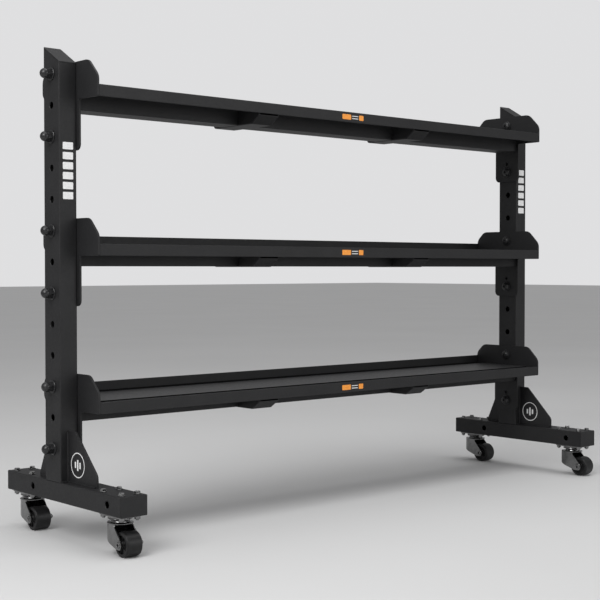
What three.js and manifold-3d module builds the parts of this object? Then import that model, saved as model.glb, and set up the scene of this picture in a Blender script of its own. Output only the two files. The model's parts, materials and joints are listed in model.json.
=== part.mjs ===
// Mobile three-tier storage rack. Millimetres, +Z up, +X along the shelves, the front faces -Y.
//
// Two upright tubes stand on two feet, and every foot rolls on two swivel casters. Three shelves hang
// between the uprights. Each shelf is a folded tray on a box beam, and its end plates bolt through the
// column of holes in the uprights.
import * as THREE from 'three'
import { mergeVertices } from 'three/addons/utils/BufferGeometryUtils.js'
import Module from 'manifold-3d'

const wasm = await Module()
wasm.setup()

// ---- driving dimensions ----
const GAP = 0.3 // space kept between pieces that touch
const TUBE = { wide: 50.8, deep: 76.2, wall: 3 } // rectangular tube of uprights, feet and beams
const UPRIGHT_SPACING = 1820
const CASTER_HEIGHT = 99.5 // floor to the underside of the foot
const HOLE = { first: 234.5, pitch: 80, count: 13, radius: 9 }
const UPRIGHT_TOP = { front: 1223.5, rise: 44.5, cap: 3 }
const FOOT = { length: 554, cap: 3, holeFront: -215, holeBack: 143 }
const CASTER_Y = [['front', -216], ['back', 213]]
const SIDES = [['left', -1], ['right', 1]]

const SHELF = {
  front: -99.5, // outer face of the front lip, measured from the front of the uprights
  back: 170.5,
  sheet: 2.5,
  lip: 4, // the front lip is folded double
  topUnderBolt: 37.5, // tray surface below the upper bolt
  lipTop: -34.5, // the next four are heights from the upper bolt
  lipBottom: -64.5,
  backLipTop: -8.2,
  earTop: 32,
}
// a thin liner lies on each tray; front and back are measured like the lips
const LINER = { thick: 3, front: -60, back: 140, inset: 10 }
// each shelf's upper bolt takes this hole, counted from the bottom, and its lower bolt the one two below
const SHELVES = [['bottom', 2], ['middle', 7], ['top', 12]]
const BOLT_HOLE_STEP = 2

const END_PLATE = { thick: 6, tabProud: 12, tabBelowBolt: 34, tabRound: 16 }
const PIN_HOLE = { aboveBolt: 28, radius: 5 } // a small free hole in every end plate
const EAR = { frontChamfer: 43.5, backChamfer: 29.5, lowChamfer: 25, round: 30, lowRound: 20 }
const RIB = { wide: 72, sheet: 3, bottom: -92.6, frontEnd: -70, backEnd: -55, flatFront: -62, flatBack: 108 }
const RIB_BACK = 135
const RIB_SPOT = { offset: -10, spacing: 622 }
const BOLT = { radius: 8, washer: 17, washerThick: 3, hexFlats: 24, hexHeight: 13, dome: 13.3, tip: 28 }
const BOLT_HEAD = { radius: 14, height: 9, edge: 3, crown: 0.6 } // crown: the flat top, as a share of radius
const GUSSET = {
  thick: 6, height: 132, frontBase: 135, frontTop: 34, frontBend: 22, backBase: 67, backTop: 12.5,
  backEdge: 10, cornerRound: 4,
}

const PLATE = { wide: 66, long: 100, thick: 3.5, round: 10 }
const PLATE_BOLT = {
  radius: 4, room: 0.5, stepX: 46, stepY: 80, washer: 9, washerThick: 1.6, hexFlats: 13, head: 5.3, nut: 6.5,
  tail: 3,
}
const RACE = { radius: 32, height: 8, gap: 1 }
const KINGPIN = { radius: 6, room: 1, head: 11, headHeight: 4 }
const SAUCER = { radius: 24, lip: 22, height: 6.7 } // the raised middle of the fork's crown
const FORK = {
  half: 28.5, rim: 32.5, back: 40, sheet: 3, crown: 3.5, backLow: 41, boss: 12, nose: 8.4, noseStep: 3.5,
  frontTop: 16, frontLow: 4,
}
const WHEEL = { radius: 31, width: 43, trail: 38, shoulder: 3.5, bore: 4.3 }
const AXLE = { radius: 4, head: 7.5, headHeight: 3, nutFlats: 13, nutHeight: 7.7, end: 40 }
const FORK_SWIVEL = { left_front: -2, left_back: -3, right_front: 3, right_back: 1 } // degrees at rest

const ROUND_STEPS = 20
const HOLE_STEPS = 12
const SMALL_STEPS = 8
const WHEEL_STEPS = 28
const OVERCUT = 1 // how far a cutting tool reaches past the surface it cuts

const footBottom = CASTER_HEIGHT
const footTop = footBottom + TUBE.wide
const footOffset = (TUBE.deep - TUBE.wide) / 2 // both feet are flush with the -X face of their upright
const tubeMid = TUBE.deep / 2
const holeZ = (index) => HOLE.first + HOLE.pitch * index
const uprightX = (side) => side * UPRIGHT_SPACING / 2

// ---- materials ----
const powderCoat = new THREE.MeshStandardMaterial({ color: 0x2b2b2d, roughness: 0.55, metalness: 0.1 })
const blackSteel = new THREE.MeshStandardMaterial({ color: 0x1c1c1e, roughness: 0.4, metalness: 0.6 })
const zinc = new THREE.MeshStandardMaterial({ color: 0xc9cbce, roughness: 0.25, metalness: 1 })
const wheelBlack = new THREE.MeshStandardMaterial({ color: 0x161617, roughness: 0.5, metalness: 0 })

// ---- solids ----
function solidOf(geometry) {
  const bare = geometry.index ? geometry.toNonIndexed() : geometry
  bare.deleteAttribute('normal')
  bare.deleteAttribute('uv')
  const merged = mergeVertices(bare, 1e-4)
  const vertProperties = new Float32Array(merged.attributes.position.array)
  const triVerts = new Uint32Array(merged.index.array)
  return new wasm.Manifold(new wasm.Mesh({ numProp: 3, vertProperties, triVerts }))
}

function geometryOf(solid) {
  const mesh = solid.getMesh()
  const geometry = new THREE.BufferGeometry()
  geometry.setAttribute('position', new THREE.BufferAttribute(new Float32Array(mesh.vertProperties), 3))
  geometry.setIndex(new THREE.BufferAttribute(new Uint32Array(mesh.triVerts), 1))
  geometry.computeVertexNormals()
  return geometry
}

// a box given by its lowest and highest corners
function box(low, high) {
  const geometry = new THREE.BoxGeometry(high[0] - low[0], high[1] - low[1], high[2] - low[2])
  geometry.translate((low[0] + high[0]) / 2, (low[1] + high[1]) / 2, (low[2] + high[2]) / 2)
  return solidOf(geometry)
}

// a cylinder along X about the line through (Y, Z)
function rodX([y, z], radius, from, to, steps = ROUND_STEPS) {
  const geometry = new THREE.CylinderGeometry(radius, radius, to - from, steps)
  return solidOf(geometry.rotateZ(Math.PI / 2).translate((from + to) / 2, y, z))
}

// a cylinder along Z about the line through (X, Y)
function rodZ([x, y], radius, from, to, steps = ROUND_STEPS) {
  const geometry = new THREE.CylinderGeometry(radius, radius, to - from, steps)
  return solidOf(geometry.rotateX(Math.PI / 2).translate(x, y, (from + to) / 2))
}

// an outline whose corners [across, up, rounding radius] are rounded by arcs
function roundedShape(corners) {
  const shape = new THREE.Shape()
  corners.forEach(([across, up, round = 0], index) => {
    const here = new THREE.Vector2(across, up)
    const before = new THREE.Vector2(...corners.at(index - 1).slice(0, 2))
    const after = new THREE.Vector2(...corners[(index + 1) % corners.length].slice(0, 2))
    const back = before.sub(here).normalize()
    const ahead = after.sub(here).normalize()
    const half = Math.acos(THREE.MathUtils.clamp(back.dot(ahead), -1, 1)) / 2
    const reach = round / Math.tan(half)
    const start = here.clone().addScaledVector(back, reach)
    if (index === 0) shape.moveTo(start.x, start.y)
    else shape.lineTo(start.x, start.y)
    if (round > 0) {
      const middle = here.clone().add(back.add(ahead).normalize().multiplyScalar(round / Math.sin(half)))
      const end = here.clone().addScaledVector(ahead, reach)
      const from = Math.atan2(start.y - middle.y, start.x - middle.x)
      const to = Math.atan2(end.y - middle.y, end.x - middle.x)
      const turn = Math.atan2(Math.sin(to - from), Math.cos(to - from))
      shape.absarc(middle.x, middle.y, round, from, to, turn < 0)
    }
  })
  shape.closePath()
  return shape
}

// a plate in the YZ plane, from one X to another
function sidePlate(corners, fromX, toX) {
  const options = { depth: toX - fromX, bevelEnabled: false, curveSegments: 4 }
  const geometry = new THREE.ExtrudeGeometry(roundedShape(corners), options)
  // the outline's axes (across, up, depth) become (Y, Z, X)
  geometry.applyMatrix4(new THREE.Matrix4().set(0, 0, 1, fromX, 1, 0, 0, 0, 0, 1, 0, 0, 0, 0, 0, 1))
  return solidOf(geometry)
}

// a plate in the XY plane, from one Z to another
function flatPlate(corners, fromZ, toZ) {
  const options = { depth: toZ - fromZ, bevelEnabled: false, curveSegments: 4 }
  return solidOf(new THREE.ExtrudeGeometry(roundedShape(corners), options).translate(0, 0, fromZ))
}

// a solid of revolution about the Z axis from [radius, z] points, from the axis back to the axis
function turned(points, steps = ROUND_STEPS) {
  const profile = points.map(([radius, z]) => new THREE.Vector2(radius, z))
  return solidOf(new THREE.LatheGeometry(profile, steps).rotateX(Math.PI / 2))
}

function hexPrism(flats, from, to) {
  const geometry = new THREE.CylinderGeometry(flats / Math.sqrt(3), flats / Math.sqrt(3), to - from, 6)
  return solidOf(geometry.rotateX(Math.PI / 2).translate(0, 0, (from + to) / 2))
}

const joined = (solids) => solids.reduce((sum, solid) => sum.add(solid))
const cutFrom = (solid, tools) => tools.reduce((rest, tool) => rest.subtract(tool), solid)

// ---- scene graph ----
const rack = new THREE.Group()

function addPiece(parent, name, solid, material) {
  const mesh = new THREE.Mesh(geometryOf(solid), material)
  mesh.name = name
  parent.add(mesh)
  return mesh
}

function groupAt(parent, x, y, z, turnZ = 0) {
  const group = new THREE.Group()
  group.position.set(x, y, z)
  group.rotation.z = THREE.MathUtils.degToRad(turnZ)
  parent.add(group)
  return group
}

// ---- uprights ----
function sideHoles(y, z) {
  return rodX([y, z], HOLE.radius, -TUBE.deep, TUBE.deep, HOLE_STEPS)
}

const capLean = Math.atan2(UPRIGHT_TOP.rise, TUBE.deep)
const topZ = UPRIGHT_TOP.front + UPRIGHT_TOP.rise
const capDrop = (distance) => distance / Math.cos(capLean)

function uprightTop(below) {
  const front = UPRIGHT_TOP.front - capDrop(below)
  return [[TUBE.deep, front + UPRIGHT_TOP.rise], [0, front]]
}

function uprightTube() {
  const half = TUBE.wide / 2
  const low = footTop + GAP
  const outline = [[0, low], [TUBE.deep, low], ...uprightTop(UPRIGHT_TOP.cap + GAP)]
  const outer = sidePlate(outline, -half, half)
  const bore = box(
    [-half + TUBE.wall, TUBE.wall, low - OVERCUT],
    [half - TUBE.wall, TUBE.deep - TUBE.wall, topZ + OVERCUT]
  )
  const holes = Array.from({ length: HOLE.count }, (_, index) => sideHoles(tubeMid, holeZ(index)))
  return cutFrom(outer, [bore, ...holes])
}

function uprightCap() {
  const outline = [...uprightTop(UPRIGHT_TOP.cap).reverse(), ...uprightTop(0)]
  return sidePlate(outline, -TUBE.wide / 2, TUBE.wide / 2)
}

// ---- feet ----
const footHalf = FOOT.length / 2
const casterBoltSpots = [[-1, -1], [-1, 1], [1, -1], [1, 1]].map(
  ([x, y]) => [x * PLATE_BOLT.stepX / 2, y * PLATE_BOLT.stepY / 2])

function footTube() {
  const half = TUBE.deep / 2
  const end = footHalf - FOOT.cap - GAP
  const outer = box([-half, -end, footBottom], [half, end, footTop])
  const bore = box(
    [-half + TUBE.wall, -end - OVERCUT, footBottom + TUBE.wall],
    [half - TUBE.wall, end + OVERCUT, footTop - TUBE.wall]
  )
  const middle = (footBottom + footTop) / 2
  const sides = [FOOT.holeFront, FOOT.holeBack].map((y) => sideHoles(y, middle))
  const boltHole = (x, y) =>
    rodZ([x, y], PLATE_BOLT.radius + PLATE_BOLT.room, footBottom - OVERCUT, footTop + OVERCUT, SMALL_STEPS)
  const boltHoles = CASTER_Y.flatMap(([, y]) => casterBoltSpots.map(([dx, dy]) => boltHole(dx, y + dy)))
  return cutFrom(outer, [bore, ...sides, ...boltHoles])
}

function footCap(direction) {
  const half = TUBE.deep / 2
  const inner = direction * (footHalf - FOOT.cap)
  const outer = direction * footHalf
  return box([-half, Math.min(inner, outer), footBottom], [half, Math.max(inner, outer), footTop])
}

// ---- gussets ----
function frontGusset() {
  const low = footTop + GAP
  const high = footTop + GUSSET.height
  const slopeFoot = high - (GUSSET.frontBase - GUSSET.frontTop)
  const outline = [
    [-GAP, low], [-GAP, high], [-GUSSET.frontTop, high, 2 * GUSSET.cornerRound],
    [-GUSSET.frontBase, slopeFoot, GUSSET.frontBend], [-GUSSET.frontBase, low],
  ]
  return sidePlate(outline.reverse(), -GUSSET.thick / 2, GUSSET.thick / 2)
}

function backGusset() {
  const low = footTop + GAP
  const high = footTop + GUSSET.height
  const face = TUBE.deep
  const outline = [
    [face + GAP, low], [face + GUSSET.backBase, low],
    [face + GUSSET.backBase, low + GUSSET.backEdge, GUSSET.cornerRound],
    [face + GUSSET.backTop, high, GUSSET.cornerRound], [face + GAP, high],
  ]
  return sidePlate(outline, -GUSSET.thick / 2, GUSSET.thick / 2)
}

// ---- shelves, in a frame whose origin is the upper bolt's height ----
const trayTop = -SHELF.topUnderBolt
const trayUnder = trayTop - SHELF.sheet
const shelfBoltDrop = BOLT_HOLE_STEP * HOLE.pitch
const plateInner = UPRIGHT_SPACING / 2 - TUBE.wide / 2 - GAP - END_PLATE.thick
const trayHalf = plateInner - GAP

function tray() {
  const back = SHELF.back - SHELF.sheet
  const lipBack = SHELF.front + SHELF.lip
  const outline = [
    [SHELF.front, SHELF.lipBottom], [lipBack, SHELF.lipBottom], [lipBack, trayUnder],
    [SHELF.back, trayUnder], [SHELF.back, SHELF.backLipTop], [back, SHELF.backLipTop],
    [back, trayTop], [lipBack, trayTop], [lipBack, SHELF.lipTop], [SHELF.front, SHELF.lipTop],
  ]
  const linerHalf = trayHalf - LINER.inset
  const liner = box([-linerHalf, LINER.front, trayUnder], [linerHalf, LINER.back, trayTop + LINER.thick])
  return sidePlate(outline, -trayHalf, trayHalf).add(liner)
}

const beamTop = trayUnder - GAP
const beamBottom = beamTop - TUBE.wide

function beam() {
  const outer = box([-trayHalf, 0, beamBottom], [trayHalf, TUBE.deep, beamTop])
  const bore = box(
    [-trayHalf - OVERCUT, TUBE.wall, beamBottom + TUBE.wall],
    [trayHalf + OVERCUT, TUBE.deep - TUBE.wall, beamTop - TUBE.wall]
  )
  return outer.subtract(bore)
}

function endPlate(side) {
  const tabFront = -END_PLATE.tabProud
  const tabBack = TUBE.deep + END_PLATE.tabProud
  const tabLow = -shelfBoltDrop - END_PLATE.tabBelowBolt
  const { front, back, lipBottom, earTop } = SHELF
  const outline = [
    [tabFront, lipBottom], [tabFront, tabLow, END_PLATE.tabRound], [tabBack, tabLow, END_PLATE.tabRound],
    [tabBack, lipBottom], [back - EAR.lowChamfer, lipBottom, EAR.lowRound],
    [back, lipBottom + EAR.lowChamfer, EAR.lowRound], [back, earTop - EAR.backChamfer, EAR.round],
    [back - EAR.backChamfer, earTop, EAR.round], [front + EAR.frontChamfer, earTop, EAR.round],
    [front, earTop - EAR.frontChamfer, EAR.round], [front, lipBottom],
  ]
  const faces = [side * plateInner, side * (plateInner + END_PLATE.thick)]
  const [low, high] = [Math.min(...faces), Math.max(...faces)]
  const hole = (z, radius, steps) => rodX([tubeMid, z], radius, low - OVERCUT, high + OVERCUT, steps)
  return cutFrom(sidePlate(outline, low, high), [
    hole(0, HOLE.radius, HOLE_STEPS),
    hole(-shelfBoltDrop, HOLE.radius, HOLE_STEPS),
    hole(-shelfBoltDrop + PIN_HOLE.aboveBolt, PIN_HOLE.radius, SMALL_STEPS),
  ])
}

// a pressed channel that runs back from the front lip and passes under the beam
function rib() {
  const top = trayUnder - GAP
  const front = SHELF.front + SHELF.lip + GAP
  const outline = [
    [front, RIB.frontEnd], [RIB.flatFront, RIB.bottom], [RIB.flatBack, RIB.bottom],
    [RIB_BACK, RIB.backEnd], [RIB_BACK, top], [front, top],
  ]
  const half = RIB.wide / 2
  const body = sidePlate(outline, -half, half)
  const lifted = outline.map(([y, z]) => [y, z === top ? top + OVERCUT : z + RIB.sheet])
  const hollow = sidePlate(lifted, -half + RIB.sheet, half - RIB.sheet)
  const beamRoom = box(
    [-half - OVERCUT, -GAP, beamBottom - GAP],
    [half + OVERCUT, TUBE.deep + GAP, top + OVERCUT]
  )
  return cutFrom(body, [hollow, beamRoom])
}

// ---- shelf bolt: domed head and washer inside, washer and ball-shaped nut outside, along +Z outwards ----
function shelfBolt() {
  const inside = -TUBE.wide / 2 - GAP - END_PLATE.thick - GAP
  const outside = TUBE.wide / 2 + GAP
  const nut = outside + BOLT.washerThick
  const head = inside - BOLT.washerThick
  const ballMiddle = nut + BOLT.tip - BOLT.dome
  const dome = [[0, nut + GAP], [BOLT.dome, nut + GAP], [BOLT.dome, ballMiddle]]
  for (const angle of [30, 60].map(THREE.MathUtils.degToRad)) {
    dome.push([BOLT.dome * Math.cos(angle), ballMiddle + BOLT.dome * Math.sin(angle)])
  }
  dome.push([0, ballMiddle + BOLT.dome])
  const headTop = head - BOLT_HEAD.height
  const button = [
    [0, headTop], [BOLT_HEAD.radius * BOLT_HEAD.crown, headTop + BOLT_HEAD.edge / 3],
    [BOLT_HEAD.radius, head - BOLT_HEAD.edge], [BOLT_HEAD.radius, head], [0, head],
  ]
  return joined([
    rodZ([0, 0], BOLT.radius, head - OVERCUT, nut + OVERCUT, SMALL_STEPS),
    rodZ([0, 0], BOLT.washer, head, inside, SMALL_STEPS),
    rodZ([0, 0], BOLT.washer, outside, nut, SMALL_STEPS),
    hexPrism(BOLT.hexFlats, nut, nut + BOLT.hexHeight),
    turned(dome, SMALL_STEPS),
    turned(button, SMALL_STEPS),
  ])
}

// ---- casters, in a frame whose origin is on the swivel axis at floor height ----
const plateTop = footBottom - GAP
const plateBottom = plateTop - PLATE.thick
const raceBottom = plateBottom - RACE.height
const saucerTop = raceBottom - RACE.gap
const crownTop = saucerTop - SAUCER.height
const crownBottom = crownTop - FORK.crown
const kingpinTop = crownBottom - KINGPIN.room

function casterBolt([x, y]) {
  const top = footTop + GAP
  const nutLow = plateBottom - PLATE_BOLT.nut
  const washerTop = top + PLATE_BOLT.washerThick
  return joined([
    rodZ([0, 0], PLATE_BOLT.radius, nutLow - PLATE_BOLT.tail, washerTop, SMALL_STEPS),
    rodZ([0, 0], PLATE_BOLT.washer, top, washerTop, SMALL_STEPS),
    hexPrism(PLATE_BOLT.hexFlats, washerTop, washerTop + PLATE_BOLT.head),
    hexPrism(PLATE_BOLT.hexFlats, nutLow, plateBottom + OVERCUT),
  ]).translate(x, y, 0)
}

function casterPlate() {
  const [x, y] = [PLATE.wide / 2, PLATE.long / 2]
  const corners = [[-x, -y], [x, -y], [x, y], [-x, y]].map((corner) => [...corner, PLATE.round])
  return joined([
    flatPlate(corners, plateBottom, plateTop),
    rodZ([0, 0], RACE.radius, raceBottom, plateBottom + OVERCUT),
    rodZ([0, 0], KINGPIN.radius, kingpinTop - OVERCUT, raceBottom + OVERCUT, SMALL_STEPS),
    rodZ([0, 0], KINGPIN.head, kingpinTop - KINGPIN.headHeight, kingpinTop, SMALL_STEPS),
    ...casterBoltSpots.map(casterBolt),
  ])
}

// a U-shaped wall from one height to another: half an ellipse behind the swivel axis, two legs in front
function forkWall(half, back, low, high) {
  const curve = rodZ([0, 0], half, low, high).scale([1, back / half, 1])
  const reach = WHEEL.trail + FORK.boss + OVERCUT
  return joined([curve, box([-half, -reach, low], [half, 0, high])])
}

// a pressing with a round raised crown, a skirt at the back and two legs forward to the axle
function fork() {
  const axleZ = WHEEL.radius
  const outer = forkWall(FORK.half, FORK.back, 0, crownTop)
  const inner = forkWall(FORK.half - FORK.sheet, FORK.back - FORK.sheet, -OVERCUT, crownBottom)
  const bossFront = -WHEEL.trail - FORK.boss
  const side = [
    [FORK.back + OVERCUT, FORK.backLow], [FORK.back + OVERCUT, crownTop], [-FORK.frontTop, crownTop],
    [-FORK.frontTop, crownBottom - FORK.frontLow], [bossFront, axleZ + FORK.frontLow, FORK.boss],
    [bossFront + FORK.noseStep, axleZ - FORK.boss, FORK.nose],
    [-WHEEL.trail + FORK.boss, axleZ - FORK.boss, FORK.frontLow],
  ]
  const shell = outer.subtract(inner).intersect(sidePlate(side, -FORK.half - OVERCUT, FORK.half + OVERCUT))
  const saucer = [
    [0, crownBottom], [FORK.rim, crownBottom], [FORK.rim, crownTop], [SAUCER.radius, crownTop],
    [SAUCER.lip, saucerTop], [0, saucerTop],
  ]
  return cutFrom(shell.add(turned(saucer)), [
    rodZ([0, 0], KINGPIN.radius + KINGPIN.room, crownBottom - OVERCUT, saucerTop + OVERCUT, SMALL_STEPS),
    rodX([-WHEEL.trail, axleZ], AXLE.radius + GAP, -FORK.half - OVERCUT, FORK.half + OVERCUT, SMALL_STEPS),
  ])
}

// built along Z, then laid along X: a thin head at -X, a nut and the bolt's end at +X
function axle() {
  const leg = FORK.half + GAP
  return joined([
    rodZ([0, 0], AXLE.radius, -leg - OVERCUT, AXLE.end, SMALL_STEPS),
    rodZ([0, 0], AXLE.head, -leg - AXLE.headHeight, -leg, SMALL_STEPS),
    hexPrism(AXLE.nutFlats, leg, leg + AXLE.nutHeight),
  ]).rotate([0, 90, 0])
}

function wheel() {
  const { radius, width, shoulder, bore } = WHEEL
  const half = width / 2
  const points = [[bore, -half], [radius - shoulder, -half], [radius, -half + shoulder]]
  const mirrored = points.map(([r, x]) => [r, -x]).reverse()
  return turned([...points, ...mirrored, points[0]], WHEEL_STEPS).rotate([0, 90, 0])
}

// ---- assembly ----
for (const [sideName, side] of SIDES) {
  const upright = groupAt(rack, uprightX(side), 0, 0)
  addPiece(upright, `upright_${sideName}`, uprightTube(), powderCoat)
  addPiece(upright, `upright_cap_${sideName}`, uprightCap(), powderCoat)
  addPiece(upright, `gusset_${sideName}_front`, frontGusset(), powderCoat)
  addPiece(upright, `gusset_${sideName}_back`, backGusset(), powderCoat)

  const foot = groupAt(rack, uprightX(side) + footOffset, 0, 0)
  addPiece(foot, `foot_${sideName}`, footTube(), powderCoat)
  addPiece(foot, `foot_cap_${sideName}_front`, footCap(-1), powderCoat)
  addPiece(foot, `foot_cap_${sideName}_back`, footCap(1), powderCoat)

  for (const [endName, y] of CASTER_Y) {
    const place = `${sideName}_${endName}`
    addPiece(groupAt(foot, 0, y, 0), `caster_plate_${place}`, casterPlate(), zinc)
    const swivel = groupAt(foot, 0, y, 0, FORK_SWIVEL[place])
    addPiece(swivel, `caster_fork_${place}`, fork(), zinc)
    const hub = groupAt(swivel, 0, -WHEEL.trail, WHEEL.radius)
    addPiece(hub, `caster_axle_${place}`, axle(), zinc)
    addPiece(hub, `caster_wheel_${place}`, wheel(), wheelBlack)
  }
}

for (const [level, hole] of SHELVES) {
  const shelf = groupAt(rack, 0, 0, holeZ(hole))
  addPiece(shelf, `shelf_tray_${level}`, tray(), powderCoat)
  addPiece(shelf, `shelf_beam_${level}`, beam(), powderCoat)
  for (const [sideName, side] of SIDES) {
    addPiece(shelf, `shelf_end_${level}_${sideName}`, endPlate(side), powderCoat)
    const ribX = RIB_SPOT.offset + side * RIB_SPOT.spacing / 2
    addPiece(groupAt(shelf, ribX, 0, 0), `shelf_rib_${level}_${sideName}`, rib(), powderCoat)
    for (const [row, z] of [['upper', 0], ['lower', -shelfBoltDrop]]) {
      const spot = groupAt(shelf, uprightX(side), tubeMid, z)
      spot.rotation.set(0, side * Math.PI / 2, 0)
      addPiece(spot, `shelf_bolt_${level}_${sideName}_${row}`, shelfBolt(), blackSteel)
    }
  }
}

// the origin is the middle of the footprint, at floor level
rack.updateMatrixWorld(true)
const bounds = new THREE.Box3().setFromObject(rack, true)
const middle = bounds.getCenter(new THREE.Vector3())
rack.position.set(-middle.x, -middle.y, -bounds.min.z)
rack.updateMatrixWorld(true)

export default rack
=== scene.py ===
import json
import math

import bmesh
import bpy
from mathutils import Matrix, Vector


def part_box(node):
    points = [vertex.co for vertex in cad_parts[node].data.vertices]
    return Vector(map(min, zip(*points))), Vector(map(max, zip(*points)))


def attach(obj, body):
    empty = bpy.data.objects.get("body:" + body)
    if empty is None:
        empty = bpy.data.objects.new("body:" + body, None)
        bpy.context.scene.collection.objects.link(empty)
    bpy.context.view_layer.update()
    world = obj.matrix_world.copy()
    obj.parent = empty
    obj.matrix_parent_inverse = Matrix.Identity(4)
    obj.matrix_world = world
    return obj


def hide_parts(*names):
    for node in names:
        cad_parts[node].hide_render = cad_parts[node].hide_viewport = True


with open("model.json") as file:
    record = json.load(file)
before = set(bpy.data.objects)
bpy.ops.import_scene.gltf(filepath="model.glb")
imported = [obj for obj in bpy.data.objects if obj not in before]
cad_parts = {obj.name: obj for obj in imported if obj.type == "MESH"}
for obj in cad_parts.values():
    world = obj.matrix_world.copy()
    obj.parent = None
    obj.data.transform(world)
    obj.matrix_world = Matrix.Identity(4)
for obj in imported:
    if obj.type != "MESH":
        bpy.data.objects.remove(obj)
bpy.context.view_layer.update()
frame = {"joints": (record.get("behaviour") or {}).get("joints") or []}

MM = 0.001
SIDES = {"left": -1, "right": 1}
ENDS = {"front": -1, "back": 1}
SMOOTH_LIMIT = math.radians(38)  # faces that meet at less than this are shaded as one

# ---- sizes in millimetres that the CAD's boxes don't give ----
SEAM = 0.3  # space the CAD keeps between pieces that touch
OVERCUT = 1.0  # how far a cutting tool reaches past the surface it cuts
TUBE_CORNER = 2.6
TUBE_INNER_CORNER = 0.8
TUBE_WALL = 3.0
HOLE_RADIUS = 9.0
HOLE_CHAMFER = 0.9
HOLE_FIRST = 234.5
HOLE_PITCH = 80.0
HOLE_COUNT = 13
TOP_RISE = 44.5
CAP_THICK = 3.0
FOOT_HOLES = (-215.0, 143.0)
GUSSET_FRONT = {"top": 34.0, "top_round": 8.0, "drop": 101.0, "bend": 22.0}
GUSSET_BACK = {"edge": 10.0, "slant": 12.2, "round": 4.0}
WELD = {"radius": 2.6, "pitch": 4.2, "ripple": 0.18, "sides": 7, "samples": 4}
WELD_SINK = 1.0  # how far a bead's centre line lies inside the corner it fills
WELD_STOP = 3.0
WELD_TIP = 6.0

# the hole that each shelf's upper bolt goes through, counted from the lowest
LEVELS = {"bottom": 2, "middle": 7, "top": 12}
LOWER_BOLT = 160.0
SHEET = 2.5
LIP = {"thick": 4.0, "height": 30.0, "proud": 3.0}
LINER = {"thick": 3.0, "front": -60.0, "back": 140.0, "inset": 10.0}
# sizes of the near-black strips of painted shade: a ring round each liner's edge and a strip at the foot of
# each back lip
LINER_SHADE_RIM = {"wide": 2.0, "drop": 0.25}
LIP_SHADE_STRIP = {"wide": 3.5, "high": 5.0, "inset": 1.0}
BEAM_WELD_PROUD = 0.5
TAB = {"proud": 12.0, "round": 16.0}
EAR = {"front": 43.5, "back": 29.5, "round": 30.0, "low": 25.0, "low_round": 20.0, "corner": 3.0}
PIN_HOLE = {"above_bolt": 28.0, "radius": 5.0}
RIB = {
    "sheet": 3.0, "front_rise": 22.6, "back_rise": 37.6, "front_run": 33.2, "back_run": 27.0,
    "end_round": 3.0, "flat_round": 8.0, "edge": 2.5,
}

# ---- camera: metres, degrees and a lens in millimetres ----
CAMERA_PLACE = (-2.5944, -2.8017, 0.6987)
CAMERA_YAW = 41.384
CAMERA_PITCH = -1.450
CAMERA_LENS = 75.61


# ---- outlines ----
def rounded(corners, steps=5):
    """Points of a closed outline whose corners (a, b, radius) are rounded."""
    points = []
    count = len(corners)
    for index, corner in enumerate(corners):
        here = Vector(corner[:2])
        radius = corner[2] if len(corner) > 2 else 0
        if radius == 0:
            points.append((here.x, here.y))
            continue
        back = (Vector(corners[index - 1][:2]) - here).normalized()
        ahead = (Vector(corners[(index + 1) % count][:2]) - here).normalized()
        half = back.angle(ahead) / 2
        reach = radius / math.tan(half)
        middle = here + (back + ahead).normalized() * radius / math.sin(half)
        start = here + back * reach - middle
        end = here + ahead * reach - middle
        first = math.atan2(start.y, start.x)
        turn = math.remainder(math.atan2(end.y, end.x) - first, 2 * math.pi)
        for step in range(steps + 1):
            angle = first + turn * step / steps
            points.append((middle.x + radius * math.cos(angle), middle.y + radius * math.sin(angle)))
    return points


def rectangle(low, high, radius, steps=5):
    corners = [(low[0], low[1]), (high[0], low[1]), (high[0], high[1]), (low[0], high[1])]
    return rounded([(a, b, radius) for a, b in corners], steps)


def circle(radius, steps):
    return [
        (radius * math.cos(2 * math.pi * step / steps), radius * math.sin(2 * math.pi * step / steps))
        for step in range(steps)
    ]


def hexagon(flats):
    return circle(flats / math.sqrt(3), 6)


def along_x(a, b, t):
    return (t, a, b)


def along_y(a, b, t):
    return (a, t, b)


def along_z(a, b, t):
    return (a, b, t)


# ---- profiles of turned solids, as (radius, t) points ----
def rod(radius, low, high):
    return [(0, low), (radius, low), (radius, high), (0, high)]


def disc(radius, low, high, across, along):
    """A disc with both rims chamfered, across its faces and along its side."""
    return [
        (0, low), (radius - across, low), (radius, low + along),
        (radius, high - along), (radius - across, high), (0, high),
    ]


def arc(radius, centre, start, end, steps):
    """Profile points on an arc, angles in degrees from the radius axis."""
    points = []
    for step in range(steps + 1):
        angle = math.radians(start + (end - start) * step / steps)
        points.append((centre[0] + radius * math.cos(angle), centre[1] + radius * math.sin(angle)))
    return points


# ---- solids ----
def ring_at(bm, outline, end, place):
    """Vertices of an outline at a height, or at a function of the outline's point."""
    height = end if callable(end) else lambda a, b: end
    return [bm.verts.new(place(a, b, height(a, b))) for a, b in outline]


def bridge(bm, first, second):
    """Faces between two closed rings of vertices, where a ring of one vertex is a point."""
    count = max(len(first), len(second))
    for index in range(count):
        after = (index + 1) % count
        if len(first) == 1:
            bm.faces.new((first[0], second[after], second[index]))
        elif len(second) == 1:
            bm.faces.new((first[index], first[after], second[0]))
        else:
            bm.faces.new((first[index], first[after], second[after], second[index]))


def turned_out(bm):
    """The solid with all its faces looking outwards."""
    bmesh.ops.recalc_face_normals(bm, faces=bm.faces)
    return bm


def round_edges(bm, edges, offset, segments=2):
    bmesh.ops.bevel(
        bm, geom=edges, offset=offset, segments=segments, profile=0.5, affect="EDGES", clamp_overlap=True
    )


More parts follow.
